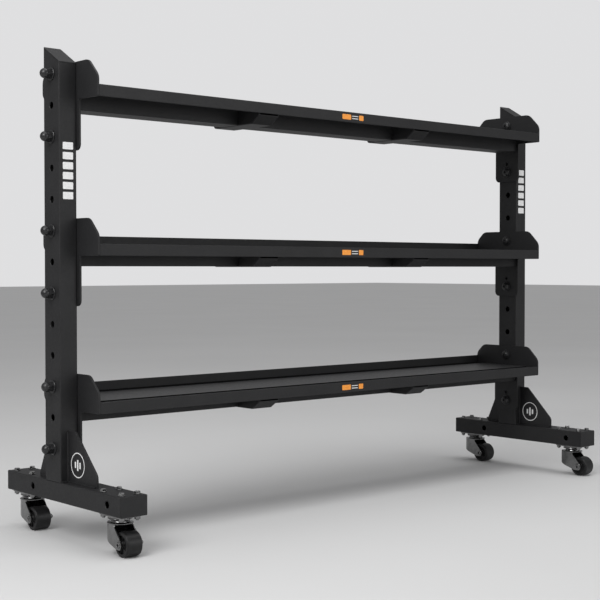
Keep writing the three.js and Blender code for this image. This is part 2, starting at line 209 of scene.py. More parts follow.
def prism(outline, low, high, place, bevel=0.0, segments=2):
    """A solid with a flat outline; low and high are its ends, or functions of the outline's point."""
    bm = bmesh.new()
    bottom = ring_at(bm, outline, low, place)
    top = ring_at(bm, outline, high, place)
    faces = [bm.faces.new(bottom[::-1]), bm.faces.new(top)]
    rims = [edge for face in faces for edge in face.edges]
    bridge(bm, bottom, top)
    turned_out(bm)
    if bevel:
        round_edges(bm, rims, bevel, segments)
    return bm


def tube(outer, inner, low, high, place):
    """A tube between two matching outlines."""
    bm = bmesh.new()
    rings = [ring_at(bm, outline, end, place) for outline in (outer, inner) for end in (low, high)]
    for first, second in ((0, 1), (1, 3), (3, 2), (2, 0)):
        bridge(bm, rings[first], rings[second])
    return turned_out(bm)


def lathe(profile, steps, place=along_z, centre=(0, 0)):
    """A solid turned from (radius, t) points that begin and end on the axis or close on themselves."""
    bm = bmesh.new()
    rings = []
    for radius, t in profile:
        points = circle(radius, steps) if radius else [(0, 0)]
        rings.append([bm.verts.new(place(centre[0] + a, centre[1] + b, t)) for a, b in points])
    pairs = list(zip(rings, rings[1:]))
    if profile[0][0] > 0:
        pairs.append((rings[-1], rings[0]))
    for first, second in pairs:
        bridge(bm, first, second)
    return turned_out(bm)


def hex_block(flats, low, high, corner=1.0, bevel=0.7):
    return prism(rounded([(a, b, corner) for a, b in hexagon(flats)], 2), low, high, along_z, bevel)


def joined(parts):
    """One bmesh of several, which it frees."""
    whole = bmesh.new()
    for part in parts:
        mesh = bpy.data.meshes.new("part")
        part.to_mesh(mesh)
        part.free()
        whole.from_mesh(mesh)
        bpy.data.meshes.remove(mesh)
    return whole


def turned(bm, angle, axis):
    bm.transform(Matrix.Rotation(angle, 4, axis))
    return bm


def temporary(bm, name):
    mesh = bpy.data.meshes.new(name)
    bm.to_mesh(mesh)
    bm.free()
    obj = bpy.data.objects.new(name, mesh)
    bpy.context.scene.collection.objects.link(obj)
    return obj


def boolean(bm, tool, operation="DIFFERENCE"):
    """The solid with the tool cut away, or only what both share."""
    target = temporary(bm, "target")
    cutter = temporary(tool, "cutter")
    modifier = target.modifiers.new("cut", "BOOLEAN")
    modifier.operation = operation
    modifier.solver = "EXACT"
    modifier.object = cutter
    graph = bpy.context.evaluated_depsgraph_get()
    result = bmesh.new()
    result.from_object(target, graph)
    for obj in (target, cutter):
        mesh = obj.data
        bpy.data.objects.remove(obj)
        bpy.data.meshes.remove(mesh)
    return result


def hole_cutter(centre, low, high, place, radius=HOLE_RADIUS, steps=28):
    """A round cutter that widens over the last millimetre before the surfaces at low and high."""
    deep = HOLE_CHAMFER
    profile = [
        (0, low - deep), (radius + 2 * deep, low - deep), (radius, low + deep), (radius, high - deep),
        (radius + 2 * deep, high + deep), (0, high + deep),
    ]
    return lathe(profile, steps, place, centre)


def weld(start, end):
    """A weld bead along a line: a tube whose radius ripples."""
    bm = bmesh.new()
    start = Vector(start)
    end = Vector(end)
    direction = (end - start).normalized()
    across = direction.orthogonal().normalized()
    other = direction.cross(across)
    length = (end - start).length
    count = max(2, round(length / WELD["pitch"] * WELD["samples"]))
    turns = [2 * math.pi * side / WELD["sides"] for side in range(WELD["sides"])]
    rings = []
    for step in range(count + 1):
        place = start.lerp(end, step / count)
        wave = abs(math.sin(math.pi * length * step / count / WELD["pitch"]))
        size = WELD["radius"] * (1 - WELD["ripple"] * (1 - wave))
        rings.append([
            bm.verts.new(place + (across * math.cos(angle) + other * math.sin(angle)) * size)
            for angle in turns
        ])
    for first, second in zip(rings, rings[1:]):
        bridge(bm, first, second)
    bm.faces.new(rings[0][::-1])
    bm.faces.new(rings[-1])
    return turned_out(bm)


# ---- pieces ----
def box_mm(node):
    low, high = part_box(node)
    return low / MM, high / MM


def finished_mesh(bm, name, material):
    for face in bm.faces:
        face.smooth = True
    for edge in bm.edges:
        edge.smooth = edge.is_manifold and edge.calc_face_angle(0) < SMOOTH_LIMIT
    bm.transform(Matrix.Scale(MM, 4))
    mesh = bpy.data.meshes.new(name)
    bm.to_mesh(mesh)
    bm.free()
    mesh.materials.append(material)
    return mesh


def add_piece(name, mesh, body, nodes=(), place=None):
    """Shows a mesh on a body; place is its matrix in the CAD frame, in metres."""
    obj = bpy.data.objects.new(name, mesh)
    bpy.context.scene.collection.objects.link(obj)
    if place is not None:
        obj.matrix_world = place
    flat = obj.modifiers.new("flat_faces", "WEIGHTED_NORMAL")
    flat.keep_sharp = True
    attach(obj, body)
    if nodes:
        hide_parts(*nodes)
    return obj


def add_fixed(name, bm, material):
    """Shows a solid of the rack's frame that stands for no CAD node."""
    add_piece(name, finished_mesh(bm, name, material), "root")


def add_coated(name, bm, *nodes):
    """Shows a powder-coated solid of the rack's frame, in place of the named CAD nodes."""
    add_piece(name, finished_mesh(bm, name, COAT), "root", nodes)


# ---- materials ----
def new_material(name):
    material = bpy.data.materials.new(name)
    material.use_nodes = True
    nodes = material.node_tree.nodes
    return material, nodes, material.node_tree.links, nodes["Principled BSDF"]


def noise(nodes, links, scale, detail=3.0, rough=0.5):
    """Noise in object space."""
    place = nodes.new("ShaderNodeTexCoord")
    texture = nodes.new("ShaderNodeTexNoise")
    texture.inputs["Scale"].default_value = scale
    texture.inputs["Detail"].default_value = detail
    texture.inputs["Roughness"].default_value = rough
    links.new(place.outputs["Object"], texture.inputs["Vector"])
    return texture.outputs["Fac"]


def ranged(nodes, links, value, low, high, start=0.3, stop=0.7):
    node = nodes.new("ShaderNodeMapRange")
    node.inputs["From Min"].default_value = start
    node.inputs["From Max"].default_value = stop
    node.inputs["To Min"].default_value = low
    node.inputs["To Max"].default_value = high
    links.new(value, node.inputs["Value"])
    return node.outputs["Result"]


def mixed(nodes, links, value, first, second):
    """A colour between two, by value."""
    ramp = nodes.new("ShaderNodeValToRGB")
    ramp.color_ramp.elements[0].position = 0.3
    ramp.color_ramp.elements[1].position = 0.7
    ramp.color_ramp.elements[0].color = (*first, 1)
    ramp.color_ramp.elements[1].color = (*second, 1)
    links.new(value, ramp.inputs["Fac"])
    return ramp.outputs["Color"]


def bump(nodes, links, value, strength, distance, under=None):
    node = nodes.new("ShaderNodeBump")
    node.inputs["Strength"].default_value = strength
    node.inputs["Distance"].default_value = distance
    links.new(value, node.inputs["Height"])
    if under is not None:
        links.new(under, node.inputs["Normal"])
    return node.outputs["Normal"]


def finish(name, colours, roughness, grains, specular=0.5, metallic=0.0):
    """A clouded, unevenly glossy, grained surface.

    colours is (noise scale, first, second), roughness is (noise scale, low, high), and each grain, the
    coarsest first, is (noise scale, noise detail, strength, height in metres).
    """
    material, nodes, links, shader = new_material(name)
    cloud, first, second = colours
    tint = mixed(nodes, links, noise(nodes, links, cloud), first, second)
    links.new(tint, shader.inputs["Base Color"])
    patches, low, high = roughness
    gloss = ranged(nodes, links, noise(nodes, links, patches), low, high)
    links.new(gloss, shader.inputs["Roughness"])
    normal = None
    for scale, detail, strength, height in grains:
        normal = bump(nodes, links, noise(nodes, links, scale, detail), strength, height, normal)
    links.new(normal, shader.inputs["Normal"])
    shader.inputs["Specular IOR Level"].default_value = specular
    shader.inputs["Metallic"].default_value = metallic
    return material


def powder_coat():
    """Satin black powder coat: fine orange peel, a faint cloudiness and slightly uneven gloss."""
    return finish(
        "powder_coat",
        colours=(14.0, (0.0100, 0.0100, 0.0107), (0.0132, 0.0132, 0.0140)),
        roughness=(160.0, 0.50, 0.60),
        grains=[(750.0, 2.0, 0.22, 0.00025), (2600.0, 1.0, 0.18, 0.00008)],
        specular=0.32,
    )


def black_hardware():
    """Black oxide fasteners: darker and glossier than the powder coat, with handling marks."""
    return finish(
        "black_hardware",
        colours=(90.0, (0.010, 0.010, 0.011), (0.022, 0.022, 0.023)),
        roughness=(240.0, 0.24, 0.36),
        grains=[(900.0, 2.0, 0.15, 0.0002)],
        specular=0.36,
    )


def zinc_plate():
    """Bright zinc plating: cool grey with cloudy patches and a finely rippled shine."""
    return finish(
        "zinc_plate",
        colours=(55.0, (0.16, 0.16, 0.16), (0.23, 0.23, 0.23)),
        roughness=(180.0, 0.13, 0.22),
        grains=[(420.0, 3.0, 0.06, 0.0002)],
        metallic=1.0,
    )


def tray_liner():
    """Thin black liner sheet: a soft sheen, a fine grain and faint wear."""
    return finish(
        "tray_liner",
        colours=(22.0, (0.016, 0.016, 0.017), (0.024, 0.024, 0.025)),
        roughness=(120.0, 0.38, 0.48),
        grains=[(1600.0, 2.0, 0.2, 0.0001)],
    )


def liner_painted_shade():
    """Painted shade: a near-black matt ring round the liner's cut edge and a near-black strip at the foot
    of the back lip, dark where those corners lie in shade.
    """
    return finish(
        "liner_painted_shade",
        colours=(60.0, (0.0025, 0.0025, 0.0026), (0.004, 0.004, 0.0042)),
        roughness=(300.0, 0.80, 0.92),
        grains=[(1800.0, 2.0, 0.2, 0.0001)],
        specular=0.1,
    )


def wheel_black():
    """Hard black wheel: moulded, with fine scuffs and a soft sheen."""
    return finish(
        "wheel_black",
        colours=(70.0, (0.006, 0.006, 0.0063), (0.011, 0.011, 0.0113)),
        roughness=(320.0, 0.36, 0.50),
        grains=[(1300.0, 2.0, 0.2, 0.00015)],
        specular=0.28,
    )


def print_ink(name, thin, full):
    """A printed marking: nearly even, with a slight mottle."""
    return finish(
        name,
        colours=(260.0, thin, full),
        roughness=(500.0, 0.42, 0.55),
        grains=[(1500.0, 1.0, 0.08, 0.0001)],
    )


COAT = powder_coat()
HARDWARE = black_hardware()
ZINC = zinc_plate()
WHEEL = wheel_black()
TRAY_LINER = tray_liner()
LINER_PAINTED_SHADE = liner_painted_shade()
WHITE = print_ink("marking_white", (0.70, 0.70, 0.70), (0.82, 0.82, 0.82))
ORANGE = print_ink("marking_orange", (0.80, 0.26, 0.025), (0.92, 0.36, 0.05))


# ---- uprights ----
def tube_outlines(low, high):
    """Outer and inner outline of the rectangular tube between two corners."""
    wall = Vector((TUBE_WALL, TUBE_WALL))
    return rectangle(low, high, TUBE_CORNER), rectangle(low + wall, high - wall, TUBE_INNER_CORNER)


def upright_top(side, below):
    """Height of the sloping top, less a distance square to it, over a point of the plan."""
    low, high = box_mm(f"upright_cap_{side}")
    deep = high.y - low.y
    drop = below * math.hypot(TOP_RISE, deep) / deep
    return lambda a, b: high.z - drop - TOP_RISE * (high.y - b) / deep


def upright(side):
    low, high = box_mm(f"upright_{side}")
    body = tube(*tube_outlines(low.xy, high.xy), low.z, upright_top(side, CAP_THICK + SEAM), along_z)
    middle = (low.y + high.y) / 2
    heights = [HOLE_FIRST + HOLE_PITCH * index for index in range(HOLE_COUNT)]
    holes = joined([hole_cutter((middle, z), low.x, high.x, along_x) for z in heights])
    add_coated(f"upright_{side}_tube", boolean(body, holes), f"upright_{side}")


def upright_cap(side):
    low, high = box_mm(f"upright_cap_{side}")
    outline = rectangle(low, high, TUBE_CORNER)
    plate = prism(outline, upright_top(side, CAP_THICK), upright_top(side, 0), along_z, bevel=0.7)
    add_coated(f"upright_{side}_cap", plate, f"upright_cap_{side}")


def gusset(side, end):
    node = f"gusset_{side}_{end}"
    low, high = box_mm(node)
    if end == "front":
        size = GUSSET_FRONT
        outline = rounded([
            (high.y, low.z), (high.y, high.z), (high.y - size["top"], high.z, size["top_round"]),
            (low.y, high.z - size["drop"], size["bend"]), (low.y, low.z),
        ])
    else:
        size = GUSSET_BACK
        outline = rounded([
            (low.y, low.z), (high.y, low.z), (high.y, low.z + size["edge"], size["round"]),
            (low.y + size["slant"], high.z, size["round"]), (low.y, high.z),
        ])
    add_coated(f"{node}_plate", prism(outline, low.x, high.x, along_x, bevel=0.9), node)


def upright_welds(side):
    """Beads round the upright's foot and along both faces of its gussets."""
    low, high = box_mm(f"upright_{side}")
    left = low.x + WELD_SINK
    right = high.x - WELD_SINK
    z = low.z + WELD_SINK
    beads = []
    if box_mm(f"foot_{side}")[1].x - high.x > TUBE_CORNER:
        beads.append(weld((right, low.y + TUBE_CORNER, z), (right, high.y - TUBE_CORNER, z)))
    for end, direction in ENDS.items():
        plate_low, plate_high = box_mm(f"gusset_{side}_{end}")
        near, tip = (plate_high.y, plate_low.y) if end == "front" else (plate_low.y, plate_high.y)
        inward = direction * WELD_SINK
        face = near + inward
        for x in (plate_low.x - WELD_SINK, plate_high.x + WELD_SINK):
            beads.append(weld((x, tip - WELD_TIP * direction, z), (x, face, z)))
            beads.append(weld((x, face, z), (x, face, plate_high.z - WELD_STOP)))
        beads.append(weld((left + TUBE_CORNER, face, z), (plate_low.x - WELD_STOP, face, z)))
        beads.append(weld((plate_high.x + WELD_STOP, face, z), (right - TUBE_CORNER, face, z)))
    add_coated(f"upright_{side}_welds", joined(beads))


# ---- feet ----
def foot(side):
    low, high = box_mm(f"foot_{side}")
    body = tube(*tube_outlines(low.xz, high.xz), low.y, high.y, along_y)
    middle = (low + high) / 2
    holes = joined([hole_cutter((middle.y + y, middle.z), low.x, high.x, along_x) for y in FOOT_HOLES])
    add_coated(f"foot_{side}_tube", boolean(body, holes), f"foot_{side}")
    for end in ENDS:
        node = f"foot_cap_{side}_{end}"
        cap_low, cap_high = box_mm(node)
        outline = rectangle(cap_low.xz, cap_high.xz, TUBE_CORNER)
        add_coated(f"{node}_plate", prism(outline, cap_low.y, cap_high.y, along_y, bevel=0.8), node)


# ---- shelves ----
def tray(level):
    """Folded sheet: a doubled lip in front, a plain turned-up lip behind."""
    node = f"shelf_tray_{level}"
    low, high = box_mm(node)
    lip_top = low.z + LIP["height"]
    lip_back = low.y + LIP["thick"]
    top = lip_top - LIP["proud"]
    under = top - SHEET
    back = high.y - SHEET
    outline = rounded([
        (low.y, low.z, 1.2), (lip_back, low.z, 1.2), (lip_back, under, 2.0),
        (high.y, under, 4.0), (high.y, high.z, 0.9), (back, high.z, 0.9),
        (back, top, 1.5), (lip_back, top, 0.8), (lip_back, lip_top, 1.6), (low.y, lip_top, 1.9),
    ], 4)
    add_coated(f"{node}_sheet", prism(outline, low.x, high.x, along_x, bevel=0.5), node)
    front_face = box_mm("upright_left")[0].y
    liner_low = Vector((low.x + LINER["inset"], front_face + LINER["front"]))
    liner_high = Vector((high.x - LINER["inset"], front_face + LINER["back"]))
    liner_top = top + LINER["thick"]
    liner = prism(rectangle(liner_low, liner_high, 6), top, liner_top, along_z, bevel=0.4)
    add_fixed(f"{node}_liner", liner, TRAY_LINER)
    # painted shade: a near-black ring round the liner's edge and a near-black strip at the foot of the back
    # lip, where the tray lies in shade
    step = Vector((LINER_SHADE_RIM["wide"], LINER_SHADE_RIM["wide"]))
    around = rectangle(liner_low - step, liner_high + step, 8)
    rim = prism(around, top, liner_top - LINER_SHADE_RIM["drop"], along_z, bevel=0.3)
    lip_shade_outline = [(back - LIP_SHADE_STRIP["wide"], top), (back, top), (back, top + LIP_SHADE_STRIP["high"])]
    lip_shade_strip = prism(lip_shade_outline, low.x + LIP_SHADE_STRIP["inset"], high.x - LIP_SHADE_STRIP["inset"], along_x)
    add_fixed(f"{node}_liner_shade_strips", joined([rim, lip_shade_strip]), LINER_PAINTED_SHADE)


def beam(level):
    node = f"shelf_beam_{level}"
    low, high = box_mm(node)
    add_coated(f"{node}_tube", tube(*tube_outlines(low.yz, high.yz), low.x, high.x, along_x), node)
    beads = []
    under = low.z - BEAM_WELD_PROUD
    for x in (low.x + WELD_SINK, high.x - WELD_SINK):
        for y in (low.y - BEAM_WELD_PROUD, high.y + BEAM_WELD_PROUD):
            beads.append(weld((x, y, low.z + TUBE_CORNER), (x, y, high.z - WELD_SINK)))
        beads.append(weld((x, low.y + TUBE_CORNER, under), (x, high.y - TUBE_CORNER, under)))
    add_coated(f"{node}_welds", joined(beads))


def end_plate(level, side):
    """Plate with two shaped ears above the tray and a tab down the upright's inner face."""
    node = f"shelf_end_{level}_{side}"
    low, high = box_mm(node)
    up_low, up_high = box_mm(f"upright_{side}")
    front_tab = up_low.y - TAB["proud"]
    back_tab = up_high.y + TAB["proud"]
    lip = box_mm(f"shelf_tray_{level}")[0].z
    outline = rounded([
        (front_tab, lip, EAR["corner"]), (front_tab, low.z, TAB["round"]),
        (back_tab, low.z, TAB["round"]), (back_tab, lip, EAR["corner"]),
        (high.y - EAR["low"], lip, EAR["low_round"]), (high.y, lip + EAR["low"], EAR["low_round"]),
        (high.y, high.z - EAR["back"], EAR["round"]), (high.y - EAR["back"], high.z, EAR["round"]),
        (low.y + EAR["front"], high.z, EAR["round"]), (low.y, high.z - EAR["front"], EAR["round"]),
        (low.y, lip, EAR["corner"]),
    ], 8)
    plate = prism(outline, low.x, high.x, along_x, bevel=0.5)
    upper = HOLE_FIRST + HOLE_PITCH * LEVELS[level]
    lower = upper - LOWER_BOLT
    middle = (up_low.y + up_high.y) / 2
    spots = (
        (upper, HOLE_RADIUS), (lower, HOLE_RADIUS), (lower + PIN_HOLE["above_bolt"], PIN_HOLE["radius"]),
    )
    holes = joined([hole_cutter((middle, z), low.x, high.x, along_x, radius) for z, radius in spots])
    add_coated(f"{node}_plate", boolean(plate, holes), node)


def rib(level, side):
    """Pressed channel under the tray, notched round the beam."""
    node = f"shelf_rib_{level}_{side}"
    low, high = box_mm(node)
    beam_low, beam_high = box_mm(f"shelf_beam_{level}")
    front_end = low.z + RIB["front_rise"]
    back_end = low.z + RIB["back_rise"]
    flat_front = low.y + RIB["front_run"]
    flat_back = high.y - RIB["back_run"]
    outline = rounded([
        (low.y, front_end, RIB["end_round"]), (flat_front, low.z, RIB["flat_round"]),
        (flat_back, low.z, RIB["flat_round"]), (high.y, back_end, RIB["end_round"]),
        (high.y, high.z), (low.y, high.z),
    ])
    body = prism(outline, low.x, high.x, along_x, bevel=RIB["edge"], segments=3)
    sheet = RIB["sheet"]
    above = high.z + 5 * OVERCUT
    hollow_outline = [
        (low.y - OVERCUT, front_end - OVERCUT + sheet), (flat_front, low.z + sheet),
        (flat_back, low.z + sheet), (high.y + OVERCUT, back_end - OVERCUT + sheet),
        (high.y + OVERCUT, above), (low.y - OVERCUT, above),
    ]
    hollow = prism(hollow_outline, low.x + sheet, high.x - sheet, along_x)
    notch = rectangle((beam_low.y - SEAM, beam_low.z - SEAM), (beam_high.y + SEAM, above), TUBE_CORNER)
    room = prism(notch, low.x - OVERCUT, high.x + OVERCUT, along_x)
    add_coated(f"{node}_channel", boolean(boolean(body, hollow), room), node)


# ---- shelf bolts, along +Z and outwards, from the middle of the upright ----
BOLT_RADIUS = 8.0
HEAD_FACE = -35.0
INNER_FACE = -32.0
OUTER_FACE = 25.7
NUT_FACE = 28.7
NUT_FLATS = 24.0
NUT_BASE = NUT_FACE + 13.0
NUT_TIP = NUT_FACE + 28.0
BALL_RADIUS = 13.3
SOCKET_FLATS = 8.0
SOCKET_DEEP = 4.5
WASHER_RADIUS = 17.0
BOLT_TURN = 0.4  # radians for each millimetre of height, so that no two nuts stand alike


def shelf_bolt_mesh():
    """Button head and washer inside, washer and dome nut outside."""
    button = [
        (0, HEAD_FACE - 9), (7.5, HEAD_FACE - 8.4), (10.5, HEAD_FACE - 7.2), (12.8, HEAD_FACE - 5.0),
        (13.8, HEAD_FACE - 2.6), (14.0, HEAD_FACE), (0, HEAD_FACE),
    ]
    socket = hex_block(SOCKET_FLATS, HEAD_FACE - 12, HEAD_FACE - SOCKET_DEEP, corner=0.3, bevel=0)
    head = boolean(lathe(button, 36), socket)
    washer_in = lathe(disc(WASHER_RADIUS, HEAD_FACE, INNER_FACE, across=0.6, along=0.6), 40)
    washer_out = lathe(disc(WASHER_RADIUS, OUTER_FACE, NUT_FACE, across=1, along=1), 40)
    chamfer = [
        (0, NUT_FACE), (12.6, NUT_FACE), (13.9, NUT_FACE + 1.2), (13.9, NUT_BASE - 1.6),
        (12.4, NUT_BASE), (0, NUT_BASE),
    ]
    block = prism(hexagon(NUT_FLATS), NUT_FACE - OVERCUT, NUT_BASE + OVERCUT, along_z)
    nut = boolean(block, lathe(chamfer, 48), "INTERSECT")
    ball = arc(BALL_RADIUS, (0, NUT_TIP - BALL_RADIUS), -38, 90, 14)
    dome = lathe([(0, NUT_BASE - 2), *ball[:-1], (0, NUT_TIP)], 40)
    shank = lathe(rod(BOLT_RADIUS, HEAD_FACE - 1, NUT_FACE + 1), 20)
    return finished_mesh(joined([head, washer_in, washer_out, nut, dome, shank]), "shelf_bolt", HARDWARE)


def shelf_bolts(level, mesh):
    upper = HOLE_FIRST + HOLE_PITCH * LEVELS[level]
    for side, direction in SIDES.items():
        up_low, up_high = box_mm(f"upright_{side}")
        middle = (up_low + up_high) / 2
        for row, z in (("upper", upper), ("lower", upper - LOWER_BOLT)):
            node = f"shelf_bolt_{level}_{side}_{row}"
            spot = Matrix.Translation(Vector((middle.x, middle.y, z)) * MM)
            outward = Matrix.Rotation(direction * math.pi / 2, 4, "Y")
            turn = Matrix.Rotation(BOLT_TURN * z, 4, "Z")
            add_piece(f"{node}_fastener", mesh, "root", [node], spot @ outward @ turn)


# ---- casters, built round the swivel axis with the floor at zero ----
FOOT_BOTTOM = box_mm("foot_left")[0].z
FOOT_TOP = box_mm("foot_left")[1].z
PLATE_TOP = FOOT_BOTTOM - SEAM
PLATE_BOTTOM = PLATE_TOP - 3.5
PLATE_HALF = (33.0, 50.0)
PLATE_ROUND = 10.0
PLATE_BOLT_STEP = (23.0, 40.0)
PLATE_BOLT = {"flats": 13.0, "washer": 9.0, "thick": 1.6, "head": 5.3, "nut": 6.5, "tail": 9.5, "turn": 0.7}
RACE_BOTTOM = PLATE_BOTTOM - 8.0
SAUCER_TOP = RACE_BOTTOM - 1.0
CROWN_TOP = SAUCER_TOP - 6.7
CROWN_BOTTOM = CROWN_TOP - 3.5
FORK_HALF = 28.5
FORK_BACK = 40.0
FORK_SHEET = 3.0
FORK_FRONT = 16.0
FORK_LOW = 41.0
FORK_BOSS = 12.0
KINGPIN_HOLE_RADIUS = 7.0
AXLE_HOLE_RADIUS = 4.6
RIM_RADIUS = 32.5
TRAIL = 38.0
WHEEL_RADIUS = box_mm("caster_wheel_left_front")[1].z / 2
WHEEL_HALF = 21.5
WHEEL_SHOULDER = 3.5
WHEEL_DISH = 5.0
SPOKE = {"count": 6, "inner": 9.4, "outer": 22.0, "half": 1.3, "sunk": 2.2, "root": 6.0, "first": 15.0}
AXLE_RADIUS = 4.0
AXLE_NUT_FLATS = 13.0
HUB = (-TRAIL, WHEEL_RADIUS)


def caster_bolt(x, y, turn):
    """Hex head and washer over the foot, nut and bolt end under the plate."""
    size = PLATE_BOLT
    washer_low = FOOT_TOP + SEAM
    washer_high = washer_low + size["thick"]
    washer = lathe(disc(size["washer"], washer_low, washer_high, across=0.4, along=0.4), 28)
    head = hex_block(size["flats"], washer_high, washer_high + size["head"])
    nut = hex_block(size["flats"], PLATE_BOTTOM - size["nut"], PLATE_BOTTOM)
    tail = PLATE_BOTTOM - size["tail"]
    shank = [(0, tail), (3.4, tail), (4, tail + 0.6), (4, washer_low + 1), (0, washer_low + 1)]
    whole = turned(joined([washer, head, nut, lathe(shank, 16)]), turn, "Z")
    whole.transform(Matrix.Translation((x, y, 0)))
    return whole


def caster_plate_mesh():
    """Top plate with its four bolts, the swivel's ball race and the kingpin."""
    half_x, half_y = PLATE_HALF
    outline = rectangle((-half_x, -half_y), (half_x, half_y), PLATE_ROUND, 7)
    plate = prism(outline, PLATE_BOTTOM, PLATE_TOP, along_z, bevel=0.7)
    race = [
        (0, PLATE_BOTTOM + 0.2), (32, PLATE_BOTTOM + 0.2), (31.7, PLATE_BOTTOM - 1.2),
        (30.6, PLATE_BOTTOM - 2.4), (30.0, PLATE_BOTTOM - 3.8), (30.8, PLATE_BOTTOM - 5.0),
        (31.0, PLATE_BOTTOM - 6.2), (30.2, PLATE_BOTTOM - 7.4), (28.0, RACE_BOTTOM), (0, RACE_BOTTOM),
    ]
    pin_top = CROWN_BOTTOM - 1.0
    pin = [
        (0, pin_top - 4), (6.5, pin_top - 3.9), (9.6, pin_top - 3), (10.9, pin_top - 1.4), (11, pin_top),
        (6, pin_top), (6, RACE_BOTTOM + 1), (0, RACE_BOTTOM + 1),
    ]
    step_x, step_y = PLATE_BOLT_STEP
    spots = ((-step_x, -step_y), (-step_x, step_y), (step_x, -step_y), (step_x, step_y))
    bolts = [caster_bolt(x, y, PLATE_BOLT["turn"] * index) for index, (x, y) in enumerate(spots)]
    return finished_mesh(joined([plate, lathe(race, 48), lathe(pin, 28), *bolts]), "caster_plate", ZINC)


def u_solid(half, back, low, high, bevel):
    """A block whose back is half an ellipse, its top rim rounded."""
    curve = [(half * math.cos(math.radians(a)), back * math.sin(math.radians(a))) for a in range(0, 181, 6)]
    front = -TRAIL - FORK_BOSS - 10 * OVERCUT
    bm = prism([(half, front), *curve, (-half, front)], low, high, along_z)
    rim = [edge for edge in bm.edges if all(vert.co.z > high - 0.01 for vert in edge.verts)]
    round_edges(bm, rim, bevel, segments=4)
    return bm


def fork_sheet():
    """The fork's bent sheet: a rounded skirt behind and two legs forward to the axle."""
    inner_half = FORK_HALF - FORK_SHEET
    inner_back = FORK_BACK - FORK_SHEET
    block = u_solid(FORK_HALF, FORK_BACK, low=5, high=CROWN_TOP, bevel=3.0)
    shell = boolean(block, u_solid(inner_half, inner_back, low=0, high=CROWN_BOTTOM, bevel=1.5))
    reach = FORK_BACK + 2
    nose = -TRAIL - FORK_BOSS
    boss_low = WHEEL_RADIUS - FORK_BOSS
    side = rounded([
        (reach, FORK_LOW), (reach, CROWN_TOP + 2), (-FORK_FRONT, CROWN_TOP + 2),
        (-FORK_FRONT, CROWN_BOTTOM - 4, 6), (nose, WHEEL_RADIUS + 4, FORK_BOSS),
        (nose + 3.5, boss_low, 8.4), (-TRAIL + FORK_BOSS, boss_low, 6),
    ], 7)
    trimmed = boolean(shell, prism(side, -FORK_HALF - 2, FORK_HALF + 2, along_x), "INTERSECT")
    axle_hole = lathe(rod(AXLE_HOLE_RADIUS, -reach, reach), 20, along_x, HUB)
    pin_hole = lathe(rod(KINGPIN_HOLE_RADIUS, CROWN_BOTTOM - OVERCUT, CROWN_TOP + OVERCUT), 20)
    cut = boolean(boolean(trimmed, axle_hole), pin_hole)
    sharp = math.radians(55)
    rims = [edge for edge in cut.edges if edge.is_manifold and edge.calc_face_angle(0) > sharp]
    round_edges(cut, rims, 0.5)
    return cut


def caster_fork_mesh():
    """Pressed steel fork: the bent sheet, its round raised crown and a boss disc on each leg."""
    low = CROWN_BOTTOM + 0.4
    crown = [
        (8, low), (RIM_RADIUS - 0.8, low), (RIM_RADIUS, low + 0.8), (RIM_RADIUS, CROWN_TOP - 1.0),
        (RIM_RADIUS - 1.0, CROWN_TOP), (27.0, CROWN_TOP + 0.3), (24.6, CROWN_TOP + 1.4),
        (23.4, SAUCER_TOP - 1.6), (22.0, SAUCER_TOP), (8, SAUCER_TOP),
    ]
    bosses = []
    for end in (-1, 1):
        sunk = end * (FORK_HALF - 1)
        edge = end * (FORK_HALF + 0.6)
        top = end * (FORK_HALF + 1.2)
        ring = [(4.8, sunk), (11.8, sunk), (11.8, edge), (11.0, top), (4.8, top)]
        bosses.append(lathe(ring, 40, along_x, HUB))
    return finished_mesh(joined([fork_sheet(), lathe(crown, 56), *bosses]), "caster_fork", ZINC)


def caster_axle_mesh():
    """A thin round head with a recess on one side, washer, nut and bolt end on the other, along X."""
    leg = FORK_HALF + SEAM
    head = [
        (0, leg), (7.8, leg), (8.1, leg + 0.5), (7.8, leg + 2.2), (6.8, leg + 3.0), (4.2, leg + 3.0),
        (3.8, leg + 2.6), (3.5, leg + 0.5), (0, leg + 0.5),
    ]
    near = turned(lathe(head, 32), math.pi, "Y")
    washer = lathe(disc(8.3, leg, leg + 1.4, across=0.3, along=0.4), 28)
    nut = hex_block(AXLE_NUT_FLATS, leg + 1.4, leg + 7.7)
    tip = [
        (0, leg + 7), (AXLE_RADIUS, leg + 7), (AXLE_RADIUS, leg + 10.4), (AXLE_RADIUS - 0.8, leg + 11.2),
        (0, leg + 11.2),
    ]
    far = joined([washer, nut, lathe(tip, 20)])
    shaft = lathe(rod(AXLE_RADIUS, -leg - 0.5, leg + 1), 20)
    return finished_mesh(turned(joined([near, far, shaft]), math.pi / 2, "Y"), "caster_axle", ZINC)


def caster_wheel_mesh():
    """Solid wheel turned about X: crowned tread, round shoulders, dished faces with hub and ribs."""
    half = WHEEL_HALF
    dish = half - WHEEL_DISH
    shoulder_middle = (WHEEL_RADIUS - WHEEL_SHOULDER, half - WHEEL_SHOULDER)
    one_side = [
        (4.3, half), (8.6, half), (9.4, half - 0.8), (10.2, half - 4.2), (11.2, dish),
        (20.6, dish), (21.4, half - 4.4), (22.2, half - 1.0), (23.2, half),
        *arc(WHEEL_SHOULDER, shoulder_middle, 84, 0, 8), (WHEEL_RADIUS, shoulder_middle[1] / 2),
    ]
    other_side = [(radius, -t) for radius, t in reversed(one_side)]
    body = lathe(one_side + other_side, 72)
    spokes = []
    for end in (-1, 1):
        low, high = sorted((end * (half - SPOKE["root"]), end * (half - SPOKE["sunk"])))
        for index in range(SPOKE["count"]):
            outline = rectangle((SPOKE["inner"], -SPOKE["half"]), (SPOKE["outer"], SPOKE["half"]), 0.5, 2)
            angle = math.radians(360 / SPOKE["count"] * index + SPOKE["first"])
            spokes.append(turned(prism(outline, low, high, along_z, bevel=0.5), angle, "Z"))
    return finished_mesh(turned(joined([body, *spokes]), math.pi / 2, "Y"), "caster_wheel", WHEEL)


